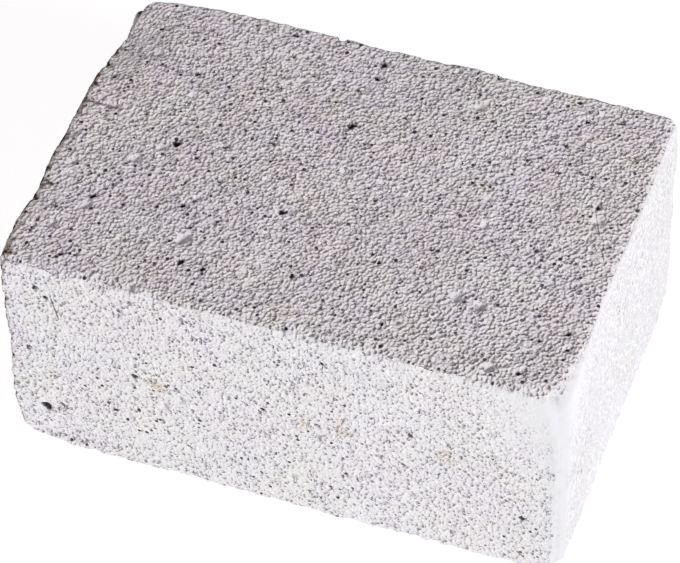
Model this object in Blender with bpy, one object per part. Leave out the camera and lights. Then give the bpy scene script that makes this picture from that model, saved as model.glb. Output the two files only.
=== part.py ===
# Scouring block of foamed pumice stone: one sawn lump with worn edges, open pores and a scraped groove.
# Metres, +Z up. The origin is the middle of the flat underside. The long side runs along X and the broad
# front looks along -Y.

import math
import random

import bmesh
import bpy
import numpy as np
from mathutils import Euler, Matrix, Vector

MM = 0.001

# Sawn size of the block
LENGTH = 100 * MM
WIDTH = 67.6 * MM
HEIGHT = 47.2 * MM
HALF = np.array([LENGTH, WIDTH, HEIGHT]) / 2

# Edges are rubbed to this radius, and some edges and corners are worn rounder. Each is named by its sides,
# with 0 along an edge, and has its extra radius and how far from it the wear reaches.
EDGE_RADIUS = 0.7 * MM
WORN_PLACES = [
    ((1, -1, 0), 0.9 * MM, 5 * MM),
    ((1, 1, 0), 0.9 * MM, 5 * MM),
    ((-1, 0, 1), 0.5 * MM, 4 * MM),
    ((0, 1, 1), 0.4 * MM, 4 * MM),
    ((-1, 0, -1), 0.6 * MM, 4 * MM),
    ((0, -1, -1), 0.5 * MM, 4 * MM),
    ((0, 1, -1), 0.6 * MM, 4 * MM),
    ((1, 0, -1), 0.5 * MM, 4 * MM),
    ((-1, 1, 0), 1.6 * MM, 8 * MM),
    ((-1, 1, 1), 3.2 * MM, 17 * MM),
    ((-1, 1, -1), 2.0 * MM, 15 * MM),
    ((-1, -1, 1), 1.0 * MM, 8 * MM),
    ((-1, -1, -1), 2.4 * MM, 12 * MM),
    ((1, -1, 1), 1.5 * MM, 10 * MM),
    ((1, -1, -1), 2.0 * MM, 12 * MM),
    ((1, 1, 1), 0.4 * MM, 8 * MM),
    ((1, 1, -1), 1.2 * MM, 10 * MM),
]

# Shallow bites out of the edges: middle measured from the block's middle, depth and reach
BITES = [
    ((-50, 21, 23.6), 2.1 * MM, 12 * MM),
    ((-50, -16, 23.6), 0.9 * MM, 8 * MM),
    ((-40, -34, -23.6), 1.1 * MM, 11 * MM),
    ((-50, -34, 1), 0.6 * MM, 7 * MM),
    ((-50, 34, -8), 0.6 * MM, 8 * MM),
    ((22, 34, 23.7), 0.4 * MM, 7 * MM),
    ((50, 12, -23.7), 0.6 * MM, 8 * MM),
]

# The saw leaves slow waves on every side but the underside: height, wavelength and count of the sine waves.
# The allowance is taken off those sides so that the crests of the waves come up to the sawn size.
SAW_WAVES = [(0.20 * MM, 34 * MM, 7), (0.10 * MM, 12 * MM, 9)]
SAW_ALLOWANCE = 0.3 * MM
CRUMBLE_DEPTH = 0.25 * MM
CRUMBLE_WAVE = 11 * MM
WAVE_SEED = 5

# Grid of the faces: one line near every face cell, and two lines inside each rubbed edge
FACE_CELL = 5.0 * MM
EDGE_LINES = [0.6 * MM, 1.8 * MM]

# Pores are round bubbles that the saw opened. Their middles lie a little under the face.
PORE_SINK = 0.22
PORE_SIDES = 7
PORE_RINGS = 5

# Large pores at the places where they show: face, place along and up or across it, half length, half width,
# turn of the long axis in degrees, and depth as a share of a round bubble's. Top is measured along X and Y,
# the front along X and up from the underside.
SEEN_PORES = [
    ("top", -30.5, 0.5, 0.75, 0.7, 0, 1.2),
    ("top", -32.0, -1.0, 0.9, 0.5, 50, 0.6),
    ("top", -35.5, -5.0, 0.9, 0.7, 40, 0.7),
    ("top", -3.0, 13.5, 1.0, 0.6, 40, 1.0),
    ("top", -7.5, -8.5, 0.9, 0.6, 30, 0.9),
    ("top", -20.0, -24.5, 0.8, 0.5, 50, 1.1),
    ("top", -16.0, -25.0, 0.6, 0.6, 0, 1.2),
    ("top", -1.5, -21.5, 0.5, 0.5, 0, 1.2),
    ("top", -21.5, -19.5, 1.4, 0.9, 60, 0.8),
    ("top", -40.0, -17.5, 1.3, 0.6, 60, 0.8),
    ("top", -43.5, -23.5, 1.2, 0.55, 60, 0.8),
    ("top", -45.5, -9.0, 1.1, 0.55, 60, 0.8),
    ("top", -42.5, 25.5, 0.9, 0.5, 5, 0.9),
    ("top", -23.5, 0.0, 0.8, 0.45, 40, 0.9),
    ("top", -14.5, 21.0, 0.9, 0.5, 15, 0.8),
    ("top", -19.5, 31.0, 0.8, 0.5, 5, 0.9),
    ("top", -11.0, -8.5, 0.8, 0.45, 30, 0.9),
    ("top", 39.5, 15.0, 0.7, 0.5, 50, 1.0),
    ("top", 36.0, -30.0, 1.1, 0.7, 50, 0.8),
    ("top", -26.0, -32.5, 1.0, 0.6, 50, 0.7),
    ("front", -43.5, 9.5, 0.9, 1.4, 0, 0.9),
    ("front", -26.0, 25.0, 0.8, 0.8, 0, 0.8),
    ("front", -30.0, 27.5, 0.5, 0.7, 20, 0.8),
    ("front", 2.0, 9.0, 0.7, 0.5, 0, 0.8),
    ("front", 7.5, 9.5, 0.6, 0.5, 0, 0.8),
    ("front", 23.0, 27.5, 0.6, 0.7, 0, 0.9),
    ("front", 23.5, 12.0, 0.8, 0.7, 20, 0.6),
    ("front", 38.0, 40.0, 0.7, 0.7, 0, 0.6),
    ("front", 43.0, 13.5, 0.6, 0.7, 0, 1.0),
    ("front", 30.5, 4.5, 0.5, 0.9, 0, 0.8),
    ("front", 26.0, 39.5, 0.5, 0.5, 0, 0.9),
]

# Further pores strewn over each face, so many per face. Most are near the smallest half width.
STREWN_PORES = {"top": 20, "bottom": 25, "front": 13, "back": 20, "left": 14, "right": 13}
STREWN_SIZE = (0.4 * MM, 0.85 * MM)
STREWN_STRETCH = 1.5
STREWN_MARGIN = 3.2 * MM
STREWN_GAP = 3.6 * MM
PORE_SEED = 21

# The middle of the underside is left whole, because the block is measured and stood there
MIDDLE_CLEAR = 9 * MM

# Groove scraped in from the left end of the top face: its middle, half length, half width and depth
GROOVE_PLACE = (-46.0 * MM, 5.6 * MM)
GROOVE_HALF_LENGTH = 4.2 * MM
GROOVE_HALF_WIDTH = 0.45 * MM
GROOVE_DEPTH = 0.3 * MM

# Each face by its outward axis and by the two axes that places on it are measured along
FACES = {
    "top": (2, 1, 0, 1),
    "bottom": (2, -1, 0, 1),
    "front": (1, -1, 0, 2),
    "back": (1, 1, 0, 2),
    "right": (0, 1, 1, 2),
    "left": (0, -1, 1, 2),
}


def empty_scene():
    for obj in list(bpy.data.objects):
        bpy.data.objects.remove(obj)


def smooth_fall(t):
    # 1 at t = 0, falling smoothly to 0 at t = 1 and beyond
    t = np.clip(t, 0, 1)
    return 1 - t * t * (3 - 2 * t)


def sine_waves(points, wavelength, count, rng):
    # Sum of plane sine waves in random directions, about -1 to 1
    total = np.zeros(len(points))
    for _ in range(count):
        way = rng.normal(size=3)
        way /= np.linalg.norm(way)
        total += np.sin(points @ way * (2 * math.pi / wavelength) + rng.uniform(0, 2 * math.pi))
    return total / math.sqrt(count)


def edge_radius(points):
    radius = np.full(len(points), EDGE_RADIUS)
    for sides, extra, reach in WORN_PLACES:
        sides = np.array(sides)
        away = (points - sides * HALF) * (sides != 0)
        radius += extra * smooth_fall(np.linalg.norm(away, axis=1) / reach)
    return radius


def worn_surface(points):
    # Points on the sharp box, centred on its middle, are moved to the rubbed, sawn and crumbled surface.
    radius = edge_radius(points)[:, None]
    inner = HALF - radius
    excess = np.maximum(np.abs(points) - inner, 0)
    outward = excess / np.linalg.norm(excess, axis=1)[:, None]
    rounded = np.sign(points) * (np.minimum(np.abs(points), inner) + radius * outward)
    outward = np.sign(points) * outward

    rng = np.random.default_rng(WAVE_SEED)
    off_base = smooth_fall((-0.25 - outward[:, 2]) / 0.6)
    height = np.full(len(points), -SAW_ALLOWANCE)
    for amplitude, wavelength, count in SAW_WAVES:
        height += amplitude * sine_waves(rounded, wavelength, count, rng)
    middling = np.sort(np.abs(outward), axis=1)[:, 1]
    crumble = np.clip(0.25 + sine_waves(rounded, CRUMBLE_WAVE, 9, rng), 0, 1.5)
    height -= CRUMBLE_DEPTH * crumble * np.clip(middling / 0.7, 0, 1) ** 2
    for middle, depth, reach in BITES:
        away = np.linalg.norm(rounded - np.array(middle) * MM, axis=1)
        height -= depth * smooth_fall(away / reach)
    return rounded + outward * (height * off_base)[:, None]


def grid_lines(half):
    inside = half - EDGE_LINES[-1]
    cells = round(2 * inside / FACE_CELL)
    lines = [-inside + 2 * inside * i / cells for i in range(cells + 1)]
    return sorted(lines + [s * (half - line) for line in EDGE_LINES[:-1] for s in (-1, 1)])


def make_lump(collection):
    # A box the size of the block, sliced along its grid lines and then worn to shape
    bm = bmesh.new()
    bmesh.ops.create_cube(bm, size=1, matrix=Matrix.Diagonal((LENGTH, WIDTH, HEIGHT, 1)))
    for axis in range(3):
        normal = Vector([float(i == axis) for i in range(3)])
        for line in grid_lines(HALF[axis]):
            everything = bm.verts[:] + bm.edges[:] + bm.faces[:]
            bmesh.ops.bisect_plane(bm, geom=everything, dist=1e-7, plane_co=normal * line, plane_no=normal)
    shaped = worn_surface(np.array([v.co for v in bm.verts]))
    for vert, place in zip(bm.verts, shaped):
        vert.co = place + np.array([0, 0, HALF[2]])
    bmesh.ops.recalc_face_normals(bm, faces=bm.faces)
    mesh = bpy.data.meshes.new("pumice_block")
    bm.to_mesh(mesh)
    bm.free()
    lump = bpy.data.objects.new("pumice_block", mesh)
    collection.objects.link(lump)
    return lump


def seen_pores():
    # The hand-placed pores in metres, with heights on the front measured from the block's middle
    pores = []
    for face, across, up, half_length, half_width, turn, depth in SEEN_PORES:
        middle = HEIGHT / 2 if FACES[face][3] == 2 else 0
        size = (half_length * MM, half_width * MM, turn, depth * half_width * MM)
        pores.append((face, across * MM, up * MM - middle, *size))
    return pores


def strewn_pores():
    # Random pores on every face, kept off the edges and off each other
    rng = random.Random(PORE_SEED)
    smallest, largest = STREWN_SIZE
    pores = []
    taken = [pore[:3] for pore in seen_pores()]
    for face, count in STREWN_PORES.items():
        _, _, first, second = FACES[face]
        made = 0
        while made < count:
            across = rng.uniform(-1, 1) * (HALF[first] - STREWN_MARGIN)
            up = rng.uniform(-1, 1) * (HALF[second] - STREWN_MARGIN)
            half_width = smallest + (largest - smallest) * rng.random() ** 2
            half_length = half_width * rng.uniform(1, STREWN_STRETCH)
            turn = rng.uniform(0, 180)
            if face == "bottom" and math.hypot(across, up) < MIDDLE_CLEAR:
                continue
            if any(f == face and math.hypot(across - a, up - b) < STREWN_GAP for f, a, b in taken):
                continue
            taken.append((face, across, up))
            pores.append((face, across, up, half_length, half_width, turn, half_width))
            made += 1
    return pores


def place_on_face(face, across, up):
    # The worn surface at a place measured on one face, centred on the block's middle
    axis, sign, first, second = FACES[face]
    point = np.zeros((1, 3))
    point[0, axis] = sign * HALF[axis]
    point[0, first] = across
    point[0, second] = up
    return Vector(worn_surface(point)[0])


def pore_matrix(face, across, up, half_length, half_width, turn, depth):
    # An ellipsoid's frame: its long axis lies in the face, and its middle is sunk by a share of its depth
    axis, sign, first, second = FACES[face]
    basis = Matrix.Identity(3)
    lengthways = Vector([float(i == first) for i in range(3)])
    sideways = Vector([float(i == second) for i in range(3)])
    outwards = Vector([float(i == axis) for i in range(3)]) * sign
    basis.col[0], basis.col[1], basis.col[2] = lengthways, sideways, outwards
    spin = Euler((0, 0, math.radians(turn))).to_matrix()
    size = Matrix.Diagonal((half_length, half_width, depth))
    middle = place_on_face(face, across, up) - outwards * (PORE_SINK * depth)
    lifted = middle + Vector((0, 0, HEIGHT / 2))
    return Matrix.Translation(lifted) @ (basis @ spin @ size).to_4x4()


def make_cutter(collection):
    # Every pore and the groove as one cutting mesh of separate ellipsoids
    bm = bmesh.new()
    groove = ("top", *GROOVE_PLACE, GROOVE_HALF_LENGTH, GROOVE_HALF_WIDTH, 0, GROOVE_DEPTH)
    frames = [pore_matrix(*pore) for pore in seen_pores() + strewn_pores() + [groove]]
    for frame in frames:
        bmesh.ops.create_uvsphere(
            bm, u_segments=PORE_SIDES, v_segments=PORE_RINGS, radius=1, matrix=frame
        )
    bmesh.ops.recalc_face_normals(bm, faces=bm.faces)
    mesh = bpy.data.meshes.new("pore_cutter")
    bm.to_mesh(mesh)
    bm.free()
    cutter = bpy.data.objects.new("pore_cutter", mesh)
    cutter.hide_render = True
    cutter.display_type = "WIRE"
    collection.objects.link(cutter)
    return cutter


def pumice_material():
    material = bpy.data.materials.new("foamed_pumice")
    material.use_nodes = True
    shader = material.node_tree.nodes["Principled BSDF"]
    shader.inputs["Base Color"].default_value = (0.72, 0.70, 0.73, 1)
    shader.inputs["Roughness"].default_value = 0.95
    shader.inputs["Metallic"].default_value = 0.0
    return material


def main():
    empty_scene()
    parts = bpy.data.collections.new("pumice_scouring_block")
    cutters = bpy.data.collections.new("cutters")
    for collection in (parts, cutters):
        bpy.context.scene.collection.children.link(collection)
    lump = make_lump(parts)
    lump.data.materials.append(pumice_material())
    lump.data.shade_smooth()
    lump.data.set_sharp_from_angle(angle=math.radians(35))
    pores = lump.modifiers.new("pores", "BOOLEAN")
    pores.operation = "DIFFERENCE"
    pores.solver = "EXACT"
    pores.object = make_cutter(cutters)
    weld = lump.modifiers.new("weld", "WELD")
    weld.merge_threshold = 0.01 * MM


main()
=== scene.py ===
import itertools
import math
import random

import bpy
import numpy as np
from mathutils import Euler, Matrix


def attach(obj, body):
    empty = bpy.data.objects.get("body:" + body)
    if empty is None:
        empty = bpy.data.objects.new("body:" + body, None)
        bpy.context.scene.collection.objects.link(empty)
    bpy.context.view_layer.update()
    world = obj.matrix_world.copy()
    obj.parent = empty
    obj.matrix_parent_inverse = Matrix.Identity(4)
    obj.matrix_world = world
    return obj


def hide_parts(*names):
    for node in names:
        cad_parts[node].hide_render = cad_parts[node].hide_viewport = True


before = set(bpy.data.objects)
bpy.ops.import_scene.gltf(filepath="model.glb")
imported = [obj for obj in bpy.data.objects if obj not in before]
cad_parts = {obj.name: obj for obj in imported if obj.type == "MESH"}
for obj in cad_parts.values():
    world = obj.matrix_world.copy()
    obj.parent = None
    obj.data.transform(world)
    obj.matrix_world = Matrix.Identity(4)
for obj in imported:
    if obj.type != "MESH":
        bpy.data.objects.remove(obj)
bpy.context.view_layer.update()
mm = 0.001


# Camera first: a long lens, close to the angle that the photograph was taken from
cameraView = {
    "place": (160.4, -419.6, 542.6),    # mm
    "turn": (40.778, 1.30, 19.53),      # degrees
    "lens": 209.3,                      # mm
    "sensor": 36,                       # mm
    "nearest": 0.01,                    # m
}


def addCamera():
    # The camera at its place, turned about X, then Y, then Z
    data = bpy.data.cameras.new("studioCamera")
    data.lens = cameraView["lens"]
    data.sensor_width = cameraView["sensor"]
    data.clip_start = cameraView["nearest"]
    camera = bpy.data.objects.new("studioCamera", data)
    camera.location = [v * mm for v in cameraView["place"]]
    camera.rotation_euler = Euler([math.radians(a) for a in cameraView["turn"]])
    bpy.context.scene.collection.objects.link(camera)
    bpy.context.scene.camera = camera


addCamera()
print("camera placed")


# Noise and random numbers, all computed for whole arrays of points at once
hashing = {
    "primes": (73856093, 19349663, 83492791),           # one for each index of a lattice cell
    "seedPrime": 40503521,
    "folds": ((15, 739982445), (12, 695872825)),        # bits shifted by, and what the fold is multiplied by
    "lastFold": 15,
    "lowBits": 0xFFFFFFFF,
}
noiseGain = 1.7     # brings the noise to about -1 to 1


def cellRandom(cells, seed):
    # A random number from 0 to 1 for each cell of a lattice: its three indices and the seed are multiplied by
    # large primes, and the bits are folded over each other
    mix = seed * hashing["seedPrime"]
    for k, prime in enumerate(hashing["primes"]):
        mix = mix ^ cells[..., k] * prime
    mix = mix & hashing["lowBits"]
    for shift, factor in hashing["folds"]:
        mix = (mix ^ (mix >> shift)) * factor & hashing["lowBits"]
    return (mix ^ (mix >> hashing["lastFold"])) / hashing["lowBits"]


def smoothNoise(points, wave, seed):
    # Gradient noise, about -1 to 1: each corner of the cell round a point has a random slope, and the eight
    # slopes are blended by a fade that rises from 0 to 1 as 6t^5 - 15t^4 + 10t^3
    scaled = points / wave
    base = np.floor(scaled).astype(np.int64)
    part = scaled - base
    fade = part ** 3 * (part * (part * 6 - 15) + 10)
    total = np.zeros(len(points))
    for corner in itertools.product((0, 1), repeat=3):
        step = np.array(corner)
        slope = np.stack([cellRandom(base + step, seed * 3 + k) for k in range(3)], axis=1) * 2 - 1
        weight = np.prod(np.where(step == 1, fade, 1 - fade), axis=1)
        total += weight * np.sum(slope * (part - step), axis=1)
    return total * noiseGain


def sineWaves(points, wavelength, count, rng):
    # Plane sine waves in random directions, added up and divided by the root of their count: about -1 to 1
    total = np.zeros(len(points))
    for _ in range(count):
        way = rng.normal(size=3)
        way /= np.linalg.norm(way)
        total += np.sin(points @ way * (2 * math.pi / wavelength) + rng.uniform(0, 2 * math.pi))
    return total / math.sqrt(count)


def smoothFall(value, start=0, end=1):
    # 1 up to start, falling smoothly to 0 at end and beyond: 1 - t^2 (3 - 2t), with t the share of the way
    t = np.clip((value - start) / (end - start), 0, 1)
    return 1 - t * t * (3 - 2 * t)


# The block: what was sawn, how its edges wore, and how rough the foamed stone is where it was cut
block = {
    "size": (100 * mm, 67.6 * mm, 47.2 * mm),
    "cells": (184, 125, 87),
    "edgeRadius": 0.7 * mm,
    "wornPlaces": [                     # sides, extra radius, reach
        ((1, -1, 0), 0.9 * mm, 5 * mm),
        ((1, 1, 0), 0.9 * mm, 5 * mm),
        ((-1, 0, 1), 0.5 * mm, 4 * mm),
        ((0, 1, 1), 0.4 * mm, 4 * mm),
        ((-1, 0, -1), 0.6 * mm, 4 * mm),
        ((0, -1, -1), 0.5 * mm, 4 * mm),
        ((0, 1, -1), 0.6 * mm, 4 * mm),
        ((1, 0, -1), 0.5 * mm, 4 * mm),
        ((-1, 1, 0), 1.6 * mm, 8 * mm),
        ((-1, 1, 1), 3.2 * mm, 17 * mm),
        ((-1, 1, -1), 2.0 * mm, 15 * mm),
        ((-1, -1, 1), 1.0 * mm, 8 * mm),
        ((-1, -1, -1), 2.4 * mm, 12 * mm),
        ((1, -1, 1), 3.4 * mm, 14 * mm),
        ((1, -1, -1), 2.0 * mm, 12 * mm),
        ((1, 1, 1), 0.4 * mm, 8 * mm),
        ((1, 1, -1), 1.2 * mm, 10 * mm),
    ],
    "bites": [                          # middle in mm, depth, reach
        ((-50, 21, 23.6), 2.1 * mm, 12 * mm),
        ((-50, -16, 23.6), 0.9 * mm, 8 * mm),
        ((-40, -34, -23.6), 1.1 * mm, 11 * mm),
        ((-50, -34, 1), 0.6 * mm, 7 * mm),
        ((-50, 34, -8), 0.6 * mm, 8 * mm),
        ((22, 34, 23.7), 0.4 * mm, 7 * mm),
        ((50, 12, -23.7), 0.6 * mm, 8 * mm),
    ],
    "waveSeed": 5,
    "sawWaves": [(0.20 * mm, 34 * mm, 7), (0.10 * mm, 12 * mm, 9)],             # height, wavelength, count
    "sawAllowance": 0.3 * mm,
    "flatBase": (0.25, 0.85),           # downward share of the outward direction where waves fade out
    "baseFrom": 0.5,                    # and where the base starts
    "crumble": {"depth": 0.25 * mm, "wave": 11 * mm, "count": 9, "least": 0.25, "most": 1.5, "edge": 0.7},
    "grain": [(0.05 * mm, 2.4 * mm, 11), (0.08 * mm, 1.15 * mm, 12)],           # height, cell, seed
    "chips": [(0.35 * mm, 2.8 * mm, 21), (0.6 * mm, 1.3 * mm, 22)],             # depth, cell, seed
    "chipSpread": {"reach": 1.5 * mm, "share": 0.15, "gain": 1.6, "most": 1.2},
    "frontWear": {"depth": 1.1 * mm, "reach": 2.5 * mm, "wave": 4.2 * mm, "seed": 24,
                  "share": 0.1, "gain": 1.8, "cornerClear": 12 * mm},
    "shake": {"size": 0.12 * mm, "edgeClear": 0.2 * mm, "seed": 61},
}

# Each face by its outward axis and side, and the two axes that places on it are measured along
faces = {
    "top": (2, 1, 0, 1),
    "bottom": (2, -1, 0, 1),
    "front": (1, -1, 0, 2),
    "back": (1, 1, 0, 2),
    "right": (0, 1, 1, 2),
    "left": (0, -1, 1, 2),
}

# Larger pores that show, in mm: face, place along and up or across it, half length, half width, turn, depth
# as a share of a round bubble's
seenPores = [
    ("top", -30.1, 0.4, 0.75, 0.7, 0, 1.2),
    ("top", -32.0, -1.0, 0.9, 0.5, 50, 0.6),
    ("top", -35.5, -5.0, 0.9, 0.7, 40, 0.8),
    ("top", -3.0, 13.5, 1.0, 0.6, 40, 1.0),
    ("top", -7.5, -8.5, 0.9, 0.6, 30, 0.9),
    ("top", -19.8, -24.7, 0.8, 0.5, 50, 1.1),
    ("top", -15.8, -25.1, 0.6, 0.6, 0, 1.2),
    ("top", -1.3, -21.6, 0.55, 0.55, 0, 1.2),
    ("top", -21.3, -19.8, 1.4, 0.9, 60, 0.84),
    ("top", -39.6, -17.7, 1.3, 0.6, 60, 0.84),
    ("top", -43.5, -23.5, 1.2, 0.55, 60, 0.8),
    ("top", -45.5, -9.0, 1.1, 0.55, 60, 0.8),
    ("top", -42.5, 25.5, 0.9, 0.5, 5, 0.9),
    ("top", -23.5, 0.0, 0.8, 0.45, 40, 0.9),
    ("top", -14.5, 21.0, 0.9, 0.5, 15, 0.8),
    ("top", -19.5, 31.0, 0.8, 0.5, 5, 0.9),
    ("top", -11.0, -8.5, 0.8, 0.45, 30, 0.9),
    ("top", 39.5, 15.0, 0.7, 0.5, 50, 1.0),
    ("top", 36.0, -30.0, 1.1, 0.7, 50, 0.8),
    ("top", -26.0, -32.5, 1.0, 0.6, 50, 0.7),
    ("front", -43.5, 9.5, 0.9, 1.4, 0, 0.9),
    ("front", -26.0, 25.0, 0.8, 0.8, 0, 0.86),
    ("front", -30.0, 27.5, 0.5, 0.7, 20, 0.8),
    ("front", 2.0, 9.0, 0.7, 0.5, 0, 0.8),
    ("front", 7.5, 9.5, 0.6, 0.5, 0, 0.8),
    ("front", 23.0, 27.5, 0.6, 0.7, 0, 0.9),
    ("front", 23.5, 12.0, 0.8, 0.7, 20, 0.6),
    ("front", 38.0, 40.0, 0.7, 0.7, 0, 0.6),
    ("front", 43.0, 13.5, 0.6, 0.7, 0, 1.0),
    ("front", 30.5, 4.5, 0.5, 0.9, 0, 0.8),
    ("front", 26.0, 39.5, 0.5, 0.5, 0, 0.9),
]

# One more, which the strewn ones don't keep clear of
lonePore = ("top", 5.3, -16.6, 0.65, 0.5, 50, 1.1)

# Groove scraped in from the left end of the top face, in mm
groove = {"place": (-46.0, 5.6), "halfLength": 4.2, "halfWidth": 0.45, "depth": 0.3}

strewn = {
    "counts": {"top": 20, "bottom": 25, "front": 13, "back": 20, "left": 14, "right": 13},
    "size": (0.4 * mm, 0.85 * mm),      # half width of the smallest and the largest
    "stretch": 1.5,                     # longest, as a share of the width
    "margin": 3.2 * mm,                 # kept clear of the edges
    "gap": 3.6 * mm,                    # kept clear of each other
    "middleClear": 9 * mm,              # kept clear round the middle of the underside
    "seed": 21,
}

# How a pore is cut, and how the grid is drawn to it
poreCut = {
    "sink": 0.22,                       # of its depth, by which its middle lies below the face
    "rim": 0.97,                        # share of its half width that is cut
    "paleDepth": 0.85,                  # bowls shallower than this share of their half width are pale
    "bowlDeepening": 1.4,
    "skirt": 1.2 * mm,                  # how far past the pore it is felt
    "faceWithin": 0.01 * mm,
    "follow": 1.6 * mm,                 # how far the grid follows the point that goes to its middle
    "pull": 0.6,                        # how strongly points near the rim are drawn to it
    "pulled": (0.5, 1.5),               # shares of the rim between which they are
}

# Smaller pores: bubbles in every cell of a lattice, opened where the saw went through them
bubbles = [
    {"cell": 2.6 * mm, "radius": (0.2 * mm, 0.75 * mm), "rarity": 3, "seed": 41},
    {"cell": 1.3 * mm, "radius": (0.1 * mm, 0.45 * mm), "rarity": 2, "seed": 42},
]


def boxLattice(cells):
    # Six grids of two parameters, one on each face of a box of whole-numbered cells, welded where they meet:
    # lattice places with the same index are one vertex
    places, quads, start = [], [], 0
    for axis, side, first, second in faces.values():
        u, v = np.meshgrid(np.arange(cells[first] + 1), np.arange(cells[second] + 1), indexing="ij")
        grid = np.zeros(u.shape + (3,), dtype=np.int64)
        grid[..., first], grid[..., second] = u, v
        grid[..., axis] = cells[axis] if side > 0 else 0
        index = np.arange(u.size).reshape(u.shape) + start
        corners = [index[:-1, :-1], index[1:, :-1], index[1:, 1:], index[:-1, 1:]]
        loop = np.stack(corners, axis=-1).reshape(-1, 4)
        outward = side * (-1 if axis == 1 else 1)
        quads.append(loop if outward > 0 else loop[:, ::-1])
        places.append(grid.reshape(-1, 3))
        start += u.size
    places = np.concatenate(places)
    span = max(cells) + 1
    keys = (places[:, 0] * span + places[:, 1]) * span + places[:, 2]
    _, kept, welded = np.unique(keys, return_index=True, return_inverse=True)
    return places[kept], welded.reshape(-1)[np.concatenate(quads)]


def wornSurface(points):
    # Points on the sharp box go to the rubbed one: each is clamped to an inner box, and stands off it by the
    # edge radius, which grows near the worn corners. Then sine waves give the saw's unevenness, crumbling and
    # bites take some off, and each point goes out by what is left.
    half = np.array(block["size"]) / 2
    radius = np.full(len(points), block["edgeRadius"])
    for sides, extra, reach in block["wornPlaces"]:
        sides = np.array(sides)
        away = (points - sides * half) * (sides != 0)
        radius += extra * smoothFall(np.linalg.norm(away, axis=1) / reach)
    radius = radius[:, None]
    inner = half - radius
    excess = np.maximum(np.abs(points) - inner, 0)
    outward = excess / np.linalg.norm(excess, axis=1)[:, None]
    rounded = np.sign(points) * (np.minimum(np.abs(points), inner) + radius * outward)
    outward = np.sign(points) * outward

    rng = np.random.default_rng(block["waveSeed"])
    height = np.full(len(points), -block["sawAllowance"])
    for amplitude, wavelength, count in block["sawWaves"]:
        height += amplitude * sineWaves(rounded, wavelength, count, rng)
    crumble = block["crumble"]
    eaten = crumble["least"] + sineWaves(rounded, crumble["wave"], crumble["count"], rng)
    edgeShare = np.clip(np.sort(np.abs(outward), axis=1)[:, 1] / crumble["edge"], 0, 1)
    height -= crumble["depth"] * np.clip(eaten, 0, crumble["most"]) * edgeShare ** 2
    for middle, depth, reach in block["bites"]:
        height -= depth * smoothFall(np.linalg.norm(rounded - np.array(middle) * mm, axis=1) / reach)
    height *= smoothFall(-outward[:, 2], *block["flatBase"])
    return rounded + outward * height[:, None], outward


def poreInMetres(face, across, up, halfLength, halfWidth, turn, depth):
    # A listed pore, which is in mm and stands on the underside, in metres from the block's middle
    middle = block["size"][2] / 2 if faces[face][3] == 2 else 0
    return face, across * mm, up * mm - middle, halfLength * mm, halfWidth * mm, turn, depth * halfWidth * mm


def poreList():
    # Seen pores, strewn ones, the lone one and the groove. A strewn pore takes a random place on its face,
    # and another one if it is too close to those already there.
    pores = [poreInMetres(*pore) for pore in seenPores]
    rng = random.Random(strewn["seed"])
    half = [s / 2 for s in block["size"]]
    smallest, largest = strewn["size"]
    taken = [p[:3] for p in pores]
    for face, count in strewn["counts"].items():
        _, _, first, second = faces[face]
        made = 0
        while made < count:
            across = rng.uniform(-1, 1) * (half[first] - strewn["margin"])
            up = rng.uniform(-1, 1) * (half[second] - strewn["margin"])
            halfWidth = smallest + (largest - smallest) * rng.random() ** 2
            halfLength = halfWidth * rng.uniform(1, strewn["stretch"])
            turn = rng.uniform(0, 180)
            if face == "bottom" and math.hypot(across, up) < strewn["middleClear"]:
                continue
            if any(f == face and math.hypot(across - a, up - b) < strewn["gap"] for f, a, b in taken):
                continue
            taken.append((face, across, up))
            pores.append((face, across, up, halfLength, halfWidth, turn, halfWidth))
            made += 1
    across, up = groove["place"]
    halfLength, halfWidth, depth = (groove[k] * mm for k in ("halfLength", "halfWidth", "depth"))
    return pores + [poreInMetres(*lonePore), ("top", across * mm, up * mm, halfLength, halfWidth, 0, depth)]


def onPore(points, pore):
    # Which points of the sharp box are on the pore's face near it, where they lie from its middle, and their
    # distance from it as a share of its rim: hypot(along / half length, across / half width)
    face, across, up, halfLength, halfWidth, turn, _ = pore
    axis, side, first, second = faces[face]
    along, over = points[:, first] - across, points[:, second] - up
    reach = 2 * halfLength + poreCut["skirt"]
    flat = np.abs(points[:, axis] - side * block["size"][axis] / 2) < poreCut["faceWithin"]
    near = np.flatnonzero(flat & (np.abs(along) < reach) & (np.abs(over) < reach))
    c, s = math.cos(math.radians(turn)), math.sin(math.radians(turn))
    longWay = (along[near] * c + over[near] * s) / halfLength
    wideWay = (over[near] * c - along[near] * s) / halfWidth
    return near, along[near], over[near], np.hypot(longWay, wideWay)


def gatherToRims(points, pores):
    # The grid is drawn to the larger pores: first the nearest point goes to each pore's middle and its
    # neighbours follow, then points near the rim, share t = 1, are drawn to it by t - pull sin(2 pi t) / 2 pi
    points = points.copy()
    low, high = poreCut["pulled"]
    for pore in pores:
        first, second = faces[pore[0]][2:]
        near, along, over, _ = onPore(points, pore)
        away = np.hypot(along, over)
        closest = np.argmin(away)
        follow = smoothFall(away / poreCut["follow"])
        points[near, first] -= follow * along[closest]
        points[near, second] -= follow * over[closest]
        near, along, over, share = onPore(points, pore)
        drawn = share - poreCut["pull"] * np.sin(2 * math.pi * share) / (2 * math.pi)
        pulled = (share > low) & (share < high)
        scale = np.where(pulled, drawn / np.maximum(share, low), 1)
        points[near, first] += along * (scale - 1)
        points[near, second] += over * (scale - 1)
    return points


def isPale(pore):
    # The shallow bowls, whose skin is rubbed pale
    return pore[6] < poreCut["paleDepth"] * pore[4]


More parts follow.
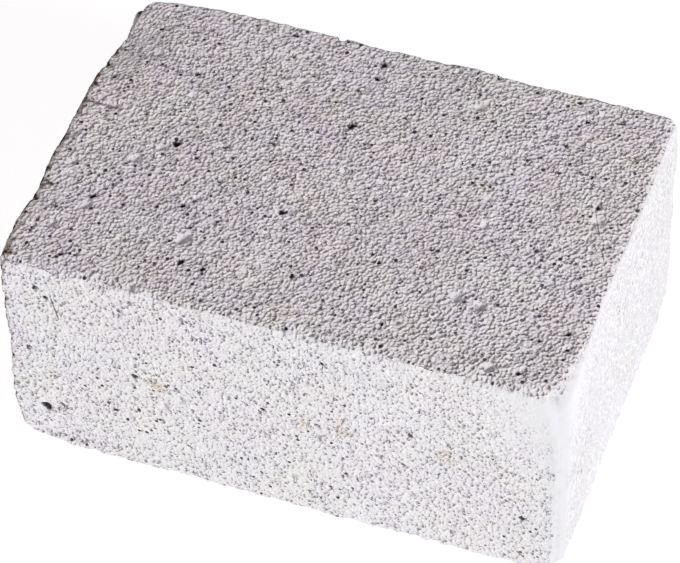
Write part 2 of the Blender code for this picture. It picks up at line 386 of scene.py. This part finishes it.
def cutPores(points, pores):
    # Depth of the larger pores below the face: each is an ellipsoid whose middle is sunk a little, so at a
    # share t of its rim the cut is its depth times sqrt(1 - t^2) plus the sink
    cuts = np.zeros(len(points))
    for pore in pores:
        near, _, _, share = onPore(points, pore)
        deepening = poreCut["bowlDeepening"] if isPale(pore) else 1
        cut = pore[6] * deepening * (np.sqrt(np.clip(1 - share ** 2, 0, 1)) + poreCut["sink"])
        cuts[near] = np.maximum(cuts[near], np.where(share < poreCut["rim"], cut, 0))
    return cuts


def cutBubbles(points, outward, kind):
    # Depth of the opened bubbles: a point inside a sphere drops along the inward direction to its far wall,
    # which is its height over the middle plus sqrt(radius^2 - distance from the middle's line^2)
    base = np.floor(points / kind["cell"]).astype(np.int64)
    depth = np.zeros(len(points))
    smallest, largest = kind["radius"]
    seeds = [kind["seed"] * 5 + k for k in range(4)]
    for step in itertools.product((-1, 0, 1), repeat=3):
        cell = base + np.array(step)
        middle = (cell + np.stack([cellRandom(cell, seed) for seed in seeds[:3]], axis=1)) * kind["cell"]
        radius = smallest + (largest - smallest) * cellRandom(cell, seeds[3]) ** kind["rarity"]
        away = points - middle
        above = np.sum(away * outward, axis=1)
        aside = np.sum(away ** 2, axis=1) - above ** 2
        inside = np.sum(away ** 2, axis=1) < radius ** 2
        cut = above + np.sqrt(np.clip(radius ** 2 - aside, 0, None))
        depth = np.maximum(depth, np.where(inside, cut, 0))
    return depth


def grainAndChips(points, sharp):
    # Height of the grain, less the chips along the edges and the patches of wear along the upper front edge.
    # Chips and patches are noise above a level, and fade out with the distance from their edge.
    half = np.array(block["size"]) / 2
    height = np.zeros(len(points))
    for amplitude, cell, seed in block["grain"]:
        height += amplitude * smoothNoise(points, cell, seed)
    spread = block["chipSpread"]
    fromEdge = np.sort(half - np.abs(sharp), axis=1)[:, 1]
    onEdge = smoothFall(fromEdge / spread["reach"])
    for depth, cell, seed in block["chips"]:
        chipped = spread["share"] + spread["gain"] * smoothNoise(points, cell, seed)
        height -= depth * onEdge * np.clip(chipped, 0, spread["most"])
    wear = block["frontWear"]
    patches = np.clip(wear["share"] + wear["gain"] * smoothNoise(points, wear["wave"], wear["seed"]), 0, 1)
    patches *= 1 - smoothFall((half[0] - sharp[:, 0]) / wear["cornerClear"])
    fromFrontEdge = np.hypot(half[1] + sharp[:, 1], half[2] - sharp[:, 2])
    return height - wear["depth"] * smoothFall(fromFrontEdge / wear["reach"]) * patches


# Where the skin is rubbed smooth and pale
rubbed = {
    "places": [                         # sides of the box, reach along each axis in m, how much
        ((1, -1, 1), (18 * mm, 26 * mm, 30 * mm), 0.93),
        ((1, -1, 0), (3 * mm, 8 * mm, 1), 0.6),
        ((1, 0, 1), (1, 1, 3 * mm), 0.5),
        ((1, 0, 0), (1 * mm, 1, 1), 0.35),
    ],
    "ragged": {"share": 0.35, "wave": 3 * mm, "seed": 51},
    "offTop": (0.35, 0.75),             # upward share of the outward direction where it fades out
    "bowls": 0.6,                       # how much in the pale bowls
    "otherPores": 0.5,                  # and in the others after the seen ones
    "poreFade": (0.9, 1.4),             # shares of a pore's rim
}

# Painted shade in a pore: depths where it starts and is full, the share of its half width past which a
# hole is deep, and the shares of the rim where a deep one fades out
shade = {"depths": (0.3 * mm, 0.9 * mm), "deepHole": 1.05, "rimFade": (0.85, 1.25)}

# Painted shade: weaker in the pores of all faces that don't look up, darker along the upright edge that
# faces the key light, and brown and dark on the left end's edges
poreShadeFacing = {"upward": 0.5, "sides": 0.87}
edgeShade = {"edge": (1, -1), "inward": (-0.6 * mm, 0.9 * mm), "reach": (3.8 * mm, 4.8 * mm)}
leftEdgeShade = {"reach": 3.2 * mm, "downShare": 0.7, "frontBehind": 1 * mm,
        "ragged": 0.6, "wave": 2.2 * mm, "seed": 52}

# Faint stains on the front, in mm: across, up, reach, and strength
stains = [(-22, 24.2, 3.2, 0.9), (4.6, 24.3, 2.6, 0.8), (11.6, 24.7, 3.4, 0.9), (29.9, 24.4, 3.2, 0.9),
          (-13.2, 45.5, 2.5, 0.4)]
stainDepth = 0.5 * mm                   # how far behind the front they reach


def skinFreshness(points, outward, sharp, pores):
    # 1 where the skin is as it was sawn, towards 0 where it is rubbed smooth and pale: the product, over the
    # rubbed places, the pale bowls and the pores after the seen ones, of 1 less how much each is rubbed
    fresh = np.ones(len(points))
    half = np.array(block["size"]) / 2
    ragged = rubbed["ragged"]
    border = ragged["share"] * smoothNoise(points, ragged["wave"], ragged["seed"])
    offTop = smoothFall(outward[:, 2], *rubbed["offTop"])
    for sides, reach, strength in rubbed["places"]:
        sides = np.array(sides)
        away = np.linalg.norm((sharp - sides * half) * (sides != 0) / np.array(reach), axis=1)
        fresh *= 1 - strength * offTop * smoothFall(away + border)
    for index, pore in enumerate(pores):
        near, _, _, share = onPore(sharp, pore)
        other = rubbed["otherPores"] if index >= len(seenPores) else 0
        strength = rubbed["bowls"] if isPale(pore) else other
        fresh[near] *= 1 - strength * smoothFall(share, *rubbed["poreFade"])
    return fresh


def poreShade(sharp, depth, pores):
    # How much painted shade a pore gets: it rises smoothly with its depth, and the deep holes on the top
    # are painted dark up to their rims
    dark = 1 - smoothFall(depth, *shade["depths"])
    for pore in pores:
        if pore[0] == "top" and pore[6] > shade["deepHole"] * pore[4]:
            near, _, _, share = onPore(sharp, pore)
            dark[near] = np.maximum(dark[near], smoothFall(share, *shade["rimFade"]))
    return dark


def edgeShadeMask(sharp):
    # Painted shade on the upright edge that faces the key light: 1 along it, falling smoothly to 0 with the
    # distance from a line just inward of it, each axis measured as a share of its reach
    half = np.array(block["size"]) / 2
    away = sharp[:, :2] - np.array(edgeShade["edge"]) * half[:2] - np.array(edgeShade["inward"])
    return smoothFall(np.linalg.norm(away / np.array(edgeShade["reach"]), axis=1))


def leftEdgeShadeMask(points, sharp):
    # Painted brown shade on the crumbs of the left end's upper and front edges, which face away from the
    # light: it fades out with the distance from the nearer edge, which a noise makes ragged
    half = np.array(block["size"]) / 2
    fromLeft = sharp[:, 0] + half[0]
    fromUpper = np.hypot(fromLeft, leftEdgeShade["downShare"] * (half[2] - sharp[:, 2]))
    fromFront = np.hypot(fromLeft, half[1] + sharp[:, 1]) + leftEdgeShade["frontBehind"]
    ragged = leftEdgeShade["ragged"] * smoothNoise(points, leftEdgeShade["wave"], leftEdgeShade["seed"])
    return smoothFall(np.minimum(fromUpper, fromFront) / leftEdgeShade["reach"] + ragged)


def frontStains(sharp):
    # Faint stains on the front, each fading out smoothly from its middle, added up
    total = np.zeros(len(sharp))
    onFront = sharp[:, 1] < -block["size"][1] / 2 + stainDepth
    for across, up, reach, strength in stains:
        away = np.hypot(sharp[:, 0] - across * mm, sharp[:, 2] + block["size"][2] / 2 - up * mm)
        total += strength * smoothFall(away / (reach * mm))
    return total * onFront


def splitCells(quads, height):
    # Each cell is split along the diagonal whose ends differ least in height, so a rim stays a rim
    a, b, c, d = (height[quads[:, k]] for k in range(4))
    steep = (np.abs(a - c) > np.abs(b - d))[:, None]
    one = np.where(steep, quads[:, [0, 1, 3]], quads[:, [0, 1, 2]])
    other = np.where(steep, quads[:, [1, 2, 3]], quads[:, [0, 2, 3]])
    return np.concatenate([one, other])


def pumiceSurface(cells):
    # The whole skin: a lattice shaken within its faces and gathered to the pores, the worn shape, and then
    # grain, chips, pores and bubbles as heights along the outward direction, but none out of the flat base
    places, quads = boxLattice(cells)
    size = np.array(block["size"])
    shake = block["shake"]
    sharp = (places / np.array(cells) - 0.5) * size
    inside = np.abs(sharp) < size / 2 - shake["edgeClear"]
    moves = np.stack([cellRandom(places, shake["seed"] + k) for k in range(3)], axis=1) * 2 - 1
    pores = poreList()
    sharp = gatherToRims(sharp + moves * shake["size"] * inside, pores)
    points, outward = wornSurface(sharp)

    fresh = skinFreshness(points, outward, sharp, pores)
    pit = cutPores(sharp, pores)
    for kind in bubbles:
        pit = np.maximum(pit, cutBubbles(points, outward, kind) * fresh)
    height = grainAndChips(points, sharp) - pit
    onBase = -outward[:, 2] > block["baseFrom"]
    height = np.where(onBase, np.minimum(height, 0), height)
    points = points + outward * height[:, None]
    points[:, 2] += size[2] / 2

    # Marks that the material reads, painted shade among them; a seen pore counts twice, so its painted shade
    # is darker than the rest
    marks = {
        "hollowShade": poreShade(sharp, pit + cutPores(sharp, pores[:len(seenPores)]), pores),
        # the pores' painted shade: full on faces that look up, weaker on the others
        "poreShadeShare": np.where(outward[:, 2] > poreShadeFacing["upward"], 1, poreShadeFacing["sides"]),
        "fresh": fresh,
        "rubbed": 1 - fresh,
        "edgeShade": edgeShadeMask(sharp),
        "leftEdgeShade": leftEdgeShadeMask(points, sharp),
        "stain": frontStains(sharp),
    }
    return points, splitCells(quads, height), marks


def meshFromArrays(name, points, triangles, values):
    # Puts whole arrays into a mesh at once: vertices, three loops to a triangle, and a number for each vertex
    # under each name in values
    mesh = bpy.data.meshes.new(name)
    mesh.vertices.add(len(points))
    mesh.vertices.foreach_set("co", points.astype(np.float32).ravel())
    mesh.loops.add(triangles.size)
    mesh.loops.foreach_set("vertex_index", triangles.astype(np.int32).ravel())
    mesh.polygons.add(len(triangles))
    mesh.polygons.foreach_set("loop_start", np.arange(0, triangles.size, 3, dtype=np.int32))
    mesh.update(calc_edges=True)
    mesh.validate()
    mesh.shade_smooth()
    for label, value in values.items():
        layer = mesh.attributes.new(label, "FLOAT", "POINT")
        layer.data.foreach_set("value", value.astype(np.float32))
    piece = bpy.data.objects.new(name, mesh)
    bpy.context.scene.collection.objects.link(piece)
    return piece


# Materials

def tone(hexCode):
    # sRGB hex to linear red, green, blue and alpha: s / 12.92 for dark tones, else ((s + 0.055) / 1.055)^2.4
    parts = [int(hexCode[i:i + 2], 16) / 255 for i in (1, 3, 5)]
    return tuple(p / 12.92 if p <= 0.04045 else ((p + 0.055) / 1.055) ** 2.4 for p in parts) + (1.0,)


def addNode(tree, kind, settings=None, **links):
    # One node: settings are its own values or its sockets' values, and links join other nodes' outputs to it,
    # by the socket's name or, after an i, its number
    node = tree.nodes.new(kind)
    for key, value in (settings or {}).items():
        if isinstance(key, str) and hasattr(node, key):
            setattr(node, key, value)
        else:
            node.inputs[key].default_value = value
    for key, source in links.items():
        numbered = key[0] == "i" and key[1:].isdigit()
        tree.links.new(source, node.inputs[int(key[1:]) if numbered else key])
    return node


# Foamed pumice: glassy froth, cast and sawn dry. The saw leaves shallow open cells with chalky pale grey
# walls and no gloss at all, so the grain shows as light and shade, and a bubble cut deep is a dark hole.
pumice = {
    "wall": "#E8E7EF",
    "wallWarm": "#ECE9E7",
    "wallPurple": "#DEDAE4",
    # painted highlight on the grain's peaks
    "paintedHighlight": "#FFFFFF",
    "patchWarm": "#FFFFFA",             # this and the next multiply what lies under them
    "patchPink": "#FFFBFF",
    # painted shade: in the floors of the sawn cells, in the open pores, and in the pits and cut bubbles
    "cellFloorShade": "#ADA9B4",
    "openPoreShade": "#4C4552",
    "hollowShade": "#2C2025",
    "rubbed": "#E7E7EE",
    # painted shade on the upright edge that faces the key light
    "edgeShade": "#D7D7DE",
    "stain": "#B9A58A",
    # painted brown shade on the left end's edges
    "leftEdgeShadeRim": "#A8978A",
    "leftEdgeShade": "#4A372F",
    "roughness": 0.95,
    "ior": 1.5,
    "specular": 0.25,
    "rubbedEase": 1.5,                  # power of the freshness that the fine relief is multiplied by
    "speckWeight": 3.0,                 # of the specks against the fading edge of the left edges' painted shade

    # Real sizes, in mm
    "cellWidth": 0.82,
    "cellDepth": 0.98,
    "grainWidth": 0.56,
    "grainHeight": 0.305,
    "poreSpacing": 1.3,
    "poreRadius": (-0.12, 0.39),        # from the smallest to the largest: below 0 there is none
    "poreRim": (-0.06, 0.12),           # inside the edge, between nothing and full
    "poreDepth": 0.3,
    "mottleWidth": 3.5,
    "patchWidth": 10.0,
    "blotWidth": 0.6,
    "speckWidth": 1.1,
}

# A sawn cell's bowl: the share of the cell's width where it ends, and of its depth that the shallowest has
cellBowl = {"end": 0.6, "shallowest": 0.3}

# Fine lines, in mm: face, where each starts and ends on it, half width, depth, and its colour
lines = [
    ("top", (42.1, 8.1), (48.5, -6.0), 0.16, 0.12, "#F4F0F2"),
    ("front", (-40.3, 39.3), (-39.2, 34.7), 0.14, 0.2, "#8A8088"),
    ("top", (-49.5, 5.1), (-42.6, 5.0), 0.3, 0.12, "#A8A09D"),
]
lineEdge = (1.4, 0.4)       # shares of the half width between which a line rises from nothing to full
lineWithin = 1.5            # mm from its face


def lineMask(tree, inMm, line):
    # 1 on the line, 0 beyond its half width: the distance from a place p to the segment from a along the unit
    # direction u is |p - a - t u|, with t the part of p - a along u, held between 0 and the length
    face, start, end, halfWidth, _, _ = line
    axis, side, first, second = faces[face]
    ends = []
    for spot in (start, end):
        full = [0.0, 0.0, 0.0]
        full[first], full[second] = spot
        full[axis] = (side * block["size"][axis] + (block["size"][2] if axis == 2 else 0)) / 2 / mm
        ends.append(np.array(full))
    along = ends[1] - ends[0]
    length = float(np.linalg.norm(along))
    unit = tuple(along / length)
    away = addNode(tree, "ShaderNodeVectorMath", {"operation": "SUBTRACT", 1: tuple(ends[0])}, i0=inMm)
    part = addNode(tree, "ShaderNodeVectorMath", {"operation": "DOT_PRODUCT", 1: unit}, i0=away.outputs[0])
    held = addNode(tree, "ShaderNodeClamp", {"Max": length}, Value=part.outputs["Value"])
    foot = addNode(tree, "ShaderNodeVectorMath", {"operation": "SCALE", 0: unit}, Scale=held.outputs[0])
    gap = addNode(tree, "ShaderNodeVectorMath", {"operation": "SUBTRACT"}, i0=away.outputs[0],
                  i1=foot.outputs[0])
    sides = [1.0, 1.0, 1.0]
    sides[axis] = 0.0
    flat = addNode(tree, "ShaderNodeVectorMath", {"operation": "MULTIPLY", 1: tuple(sides)},
                   i0=gap.outputs[0])
    apart = addNode(tree, "ShaderNodeVectorMath", {"operation": "LENGTH"}, i0=flat.outputs[0])
    deep = addNode(tree, "ShaderNodeSeparateXYZ", i0=gap.outputs[0])
    near = addNode(tree, "ShaderNodeMath", {"operation": "COMPARE", 1: 0.0, 2: lineWithin},
                   i0=deep.outputs[axis])
    low, high = (halfWidth * share for share in lineEdge)
    mask = addNode(tree, "ShaderNodeMapRange",
                   {"interpolation_type": "SMOOTHSTEP", "From Min": low, "From Max": high},
                   Value=apart.outputs["Value"])
    both = addNode(tree, "ShaderNodeMath", {"operation": "MULTIPLY"}, i0=mask.outputs[0], i1=near.outputs[0])
    return both.outputs[0]


def sawnCells(tree, inMm):
    # Bowls round the points of a cellular pattern, each with its own depth, and a noise for the grain. The
    # height in mm is the grain's less the bowl's, and the grain's counts twice because the noise keeps to
    # the middle half of 0 to 1.
    cells = addNode(tree, "ShaderNodeTexVoronoi", {"Scale": 1 / pumice["cellWidth"]}, Vector=inMm)
    bowl = addNode(tree, "ShaderNodeMapRange",
                   {"interpolation_type": "SMOOTHSTEP", "From Max": cellBowl["end"],
                    "To Min": 1.0, "To Max": 0.0},
                   Value=cells.outputs["Distance"])
    kind = addNode(tree, "ShaderNodeSeparateColor", i0=cells.outputs["Color"])
    share = addNode(tree, "ShaderNodeMapRange", {"To Min": cellBowl["shallowest"]}, Value=kind.outputs[0])
    sunk = addNode(tree, "ShaderNodeMath", {"operation": "MULTIPLY"}, i0=bowl.outputs[0], i1=share.outputs[0])
    grain = addNode(tree, "ShaderNodeTexNoise", {"Scale": 1 / pumice["grainWidth"], "Detail": 0.0},
                    Vector=inMm)
    raised = addNode(tree, "ShaderNodeMath", {"operation": "MULTIPLY", 1: 2 * pumice["grainHeight"]},
                     i0=grain.outputs["Fac"])
    height = addNode(tree, "ShaderNodeMath", {"operation": "MULTIPLY_ADD", 1: -pumice["cellDepth"]},
                     i0=sunk.outputs[0], i2=raised.outputs[0])
    return sunk.outputs[0], grain.outputs["Fac"], height.outputs[0]


def openPores(tree, inMm):
    # Small round holes of random size, 1 inside and 0 outside: the radius less the distance in mm from the
    # nearest point of a cellular pattern, rising smoothly across the rim
    cells = addNode(tree, "ShaderNodeTexVoronoi", {"Scale": 1 / pumice["poreSpacing"]}, Vector=inMm)
    away = addNode(tree, "ShaderNodeMath", {"operation": "MULTIPLY", 1: pumice["poreSpacing"]},
                   i0=cells.outputs["Distance"])
    kind = addNode(tree, "ShaderNodeSeparateColor", i0=cells.outputs["Color"])
    smallest, largest = pumice["poreRadius"]
    radius = addNode(tree, "ShaderNodeMapRange", {"To Min": smallest, "To Max": largest},
                     Value=kind.outputs[1])
    within = addNode(tree, "ShaderNodeMath", {"operation": "SUBTRACT"}, i0=radius.outputs[0],
                     i1=away.outputs[0])
    low, high = pumice["poreRim"]
    hole = addNode(tree, "ShaderNodeMapRange",
                   {"interpolation_type": "SMOOTHSTEP", "From Min": low, "From Max": high},
                   Value=within.outputs[0])
    return hole.outputs[0]


def layColours(tree, colour, layers):
    # Colours laid over each other. The amount of each is the product of its factors, and a factor with two
    # limits rises smoothly from 0 at the first to 1 at the second.
    for hexCode, mixing, *factors in layers:
        amount = None
        for factor, *limits in factors:
            if limits:
                low, high = limits
                rise = addNode(tree, "ShaderNodeMapRange",
                               {"interpolation_type": "SMOOTHSTEP", "From Min": low, "From Max": high},
                               Value=factor)
                factor = rise.outputs[0]
            if amount is None:
                amount = factor
            else:
                product = addNode(tree, "ShaderNodeMath", {"operation": "MULTIPLY"}, i0=amount, i1=factor)
                amount = product.outputs[0]
        mix = addNode(tree, "ShaderNodeMix", {"data_type": "RGBA", "blend_type": mixing, 7: tone(hexCode)},
                      i0=amount, i6=colour)
        colour = mix.outputs[2]
    return colour


def pumiceStone():
    # Fine relief as bump, and colours laid over each other, all in mm of the stone's own place
    material = bpy.data.materials.new("sawnFoamedPumice")
    material.use_nodes = True
    tree = material.node_tree
    shader = tree.nodes["Principled BSDF"]
    place = addNode(tree, "ShaderNodeTexCoord")
    inMm = addNode(tree, "ShaderNodeVectorMath", {"operation": "SCALE", "Scale": 1 / mm},
                   i0=place.outputs["Object"]).outputs[0]
    mark = {name: addNode(tree, "ShaderNodeAttribute", {"attribute_name": name}).outputs["Fac"]
            for name in ("hollowShade", "poreShadeShare", "fresh", "rubbed", "edgeShade", "leftEdgeShade", "stain")}

    # Fine relief: sawn cells, grain and open pores, eased off where the skin is rubbed
    sunk, grain, height = sawnCells(tree, inMm)
    hole = openPores(tree, inMm)
    pitted = addNode(tree, "ShaderNodeMath", {"operation": "MULTIPLY_ADD", 1: -pumice["poreDepth"]},
                     i0=hole, i2=height)
    ease = addNode(tree, "ShaderNodeMath", {"operation": "POWER", 1: pumice["rubbedEase"]}, i0=mark["fresh"])
    height = addNode(tree, "ShaderNodeMath", {"operation": "MULTIPLY"}, i0=pitted.outputs[0],
                     i1=ease.outputs[0]).outputs[0]

    # Tints and blots, each a noise of its own width, detail and roughness
    noises = {}
    for name, detail, rough in (("mottle", 4, 0.7), ("patch", 4, 0.6), ("blot", 2, 0.5), ("speck", 2, 0.6)):
        settings = {"Scale": 1 / pumice[name + "Width"], "Detail": detail, "Roughness": rough}
        noises[name] = addNode(tree, "ShaderNodeTexNoise", settings, Vector=inMm)
    tints = addNode(tree, "ShaderNodeSeparateColor", i0=noises["mottle"].outputs["Color"]).outputs
    patches = addNode(tree, "ShaderNodeSeparateColor", i0=noises["patch"].outputs["Color"]).outputs
    blots, specks = noises["blot"].outputs["Fac"], noises["speck"].outputs["Fac"]
    crumbs = addNode(tree, "ShaderNodeMath", {"operation": "MULTIPLY_ADD", 1: pumice["speckWeight"]},
                     i0=specks, i2=mark["leftEdgeShade"]).outputs[0]

    # Pale walls mottled warm and purple, a painted highlight on the grain's peaks, then painted shade in the
    # cell floors, open pores and cut bubbles, and over them the rubbed skin, a painted shade along an upright
    # edge, stains and a painted brown shade on the left end's edges, each with what it follows and the limits
    # it rises between
    wall = addNode(tree, "ShaderNodeRGB")
    wall.outputs[0].default_value = tone(pumice["wall"])
    colour = layColours(tree, wall.outputs[0], [
        (pumice["wallWarm"], "MIX", (tints[0], 0.45, 0.75)),
        (pumice["wallPurple"], "MIX", (tints[1], 0.5, 0.8)),
        (pumice["paintedHighlight"], "MIX", (grain, 0.5, 0.72)),
        (pumice["patchWarm"], "MULTIPLY", (patches[0], 0.35, 0.65)),
        (pumice["patchPink"], "MULTIPLY", (patches[1], 0.35, 0.65)),
        (pumice["cellFloorShade"], "MIX", (sunk, 0.5, 0.9), (mark["fresh"],)),
        (pumice["openPoreShade"], "MIX", (hole,), (mark["fresh"],)),
        (pumice["hollowShade"], "MIX", (mark["hollowShade"], 0.3, 0.85), (mark["poreShadeShare"],), (mark["fresh"],)),
        (pumice["rubbed"], "MIX", (mark["rubbed"],)),
        (pumice["edgeShade"], "MIX", (mark["edgeShade"],)),
        (pumice["stain"], "MIX", (mark["stain"],), (blots, 0.42, 0.6)),
        (pumice["leftEdgeShadeRim"], "MIX", (mark["leftEdgeShade"], 0.1, 1.0), (specks, 0.3, 0.6)),
        (pumice["leftEdgeShade"], "MIX", (crumbs, 2.25, 2.6), (mark["leftEdgeShade"], 0.05, 0.3)),
    ])
    for line in lines:
        mask = lineMask(tree, inMm, line)
        depth, hexCode = line[4:]
        colour = layColours(tree, colour, [(hexCode, "MIX", (mask,))])
        height = addNode(tree, "ShaderNodeMath", {"operation": "MULTIPLY_ADD", 1: -depth}, i0=mask,
                         i2=height).outputs[0]

    # Heights are in mm, so the bump's unit is one too
    bump = addNode(tree, "ShaderNodeBump", {"Strength": 1.0, "Distance": mm}, Height=height)
    tree.links.new(colour, shader.inputs["Base Color"])
    tree.links.new(bump.outputs[0], shader.inputs["Normal"])
    shader.inputs["Roughness"].default_value = pumice["roughness"]
    shader.inputs["IOR"].default_value = pumice["ior"]
    shader.inputs["Specular IOR Level"].default_value = pumice["specular"]
    return material


points, triangles, marks = pumiceSurface(block["cells"])
stone = meshFromArrays("pumice_stone_skin", points, triangles, marks)
stone.data.materials.append(pumiceStone())
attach(stone, "root")
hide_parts("pumice_block")
print("stone made,", len(triangles), "triangles")


# Studio: a white table lit from below as well, one key light low on the right, and a soft sky
studio = {
    "tableReach": 4.0,                  # m
    "tableColour": "#A8A8A8",
    "tableRoughness": 0.9,
    "tableGlow": 1.09,
    "sky": "#FFF4F4",
    "skyStrength": 0.352,
    "keyFrom": (0.80, -0.44, 0.53),
    "keyDistance": 1.2,                 # m
    "keySize": 0.25,                    # m
    "keyPower": 10.8,                   # W
    "whiteLevel": 1.25,
    "shoulder": [(0.44, 0.55), (0.58, 0.715), (0.72, 0.81), (0.84, 0.865), (0.92, 0.905), (0.97, 0.96)],
}


def setTones():
    # Bright tones roll off as they do in a photograph: the curve is straight up to about 0.7, and then
    # flattens
    view = bpy.context.scene.view_settings
    view.view_transform = "Standard"
    view.use_curve_mapping = True
    view.curve_mapping.white_level = [studio["whiteLevel"]] * 3
    for level, shown in studio["shoulder"]:
        view.curve_mapping.curves[3].points.new(level, shown)
    view.curve_mapping.update()


def addTable():
    # One level square at height 0, which glows, so that it stays white and shows no shadow
    reach = studio["tableReach"]
    corners = [(-reach, -reach, 0), (reach, -reach, 0), (reach, reach, 0), (-reach, reach, 0)]
    mesh = bpy.data.meshes.new("table")
    mesh.from_pydata(corners, [], [(0, 1, 2, 3)])
    table = bpy.data.objects.new("table", mesh)
    bpy.context.scene.collection.objects.link(table)
    material = bpy.data.materials.new("litTable")
    material.use_nodes = True
    shader = material.node_tree.nodes["Principled BSDF"]
    shader.inputs["Base Color"].default_value = tone(studio["tableColour"])
    shader.inputs["Roughness"].default_value = studio["tableRoughness"]
    shader.inputs["Emission Color"].default_value = (1, 1, 1, 1)
    shader.inputs["Emission Strength"].default_value = studio["tableGlow"]
    mesh.materials.append(material)


def addSky():
    # An even soft light from all round
    world = bpy.data.worlds.new("studioSky")
    world.use_nodes = True
    background = world.node_tree.nodes["Background"]
    background.inputs["Color"].default_value = tone(studio["sky"])
    background.inputs["Strength"].default_value = studio["skyStrength"]
    bpy.context.scene.world = world


def addKeyLight():
    # A square lamp out along its direction, turned to face the middle of the stone's base
    key = bpy.data.lights.new("keyLight", "AREA")
    key.size = studio["keySize"]
    key.energy = studio["keyPower"]
    lamp = bpy.data.objects.new("keyLight", key)
    way = np.array(studio["keyFrom"])
    way /= np.linalg.norm(way)
    lamp.location = way * studio["keyDistance"]
    lamp.rotation_euler = (math.acos(way[2]), 0, math.atan2(way[1], way[0]) + math.pi / 2)
    bpy.context.scene.collection.objects.link(lamp)


setTones()
addTable()
addSky()
addKeyLight()
print("studio lit")
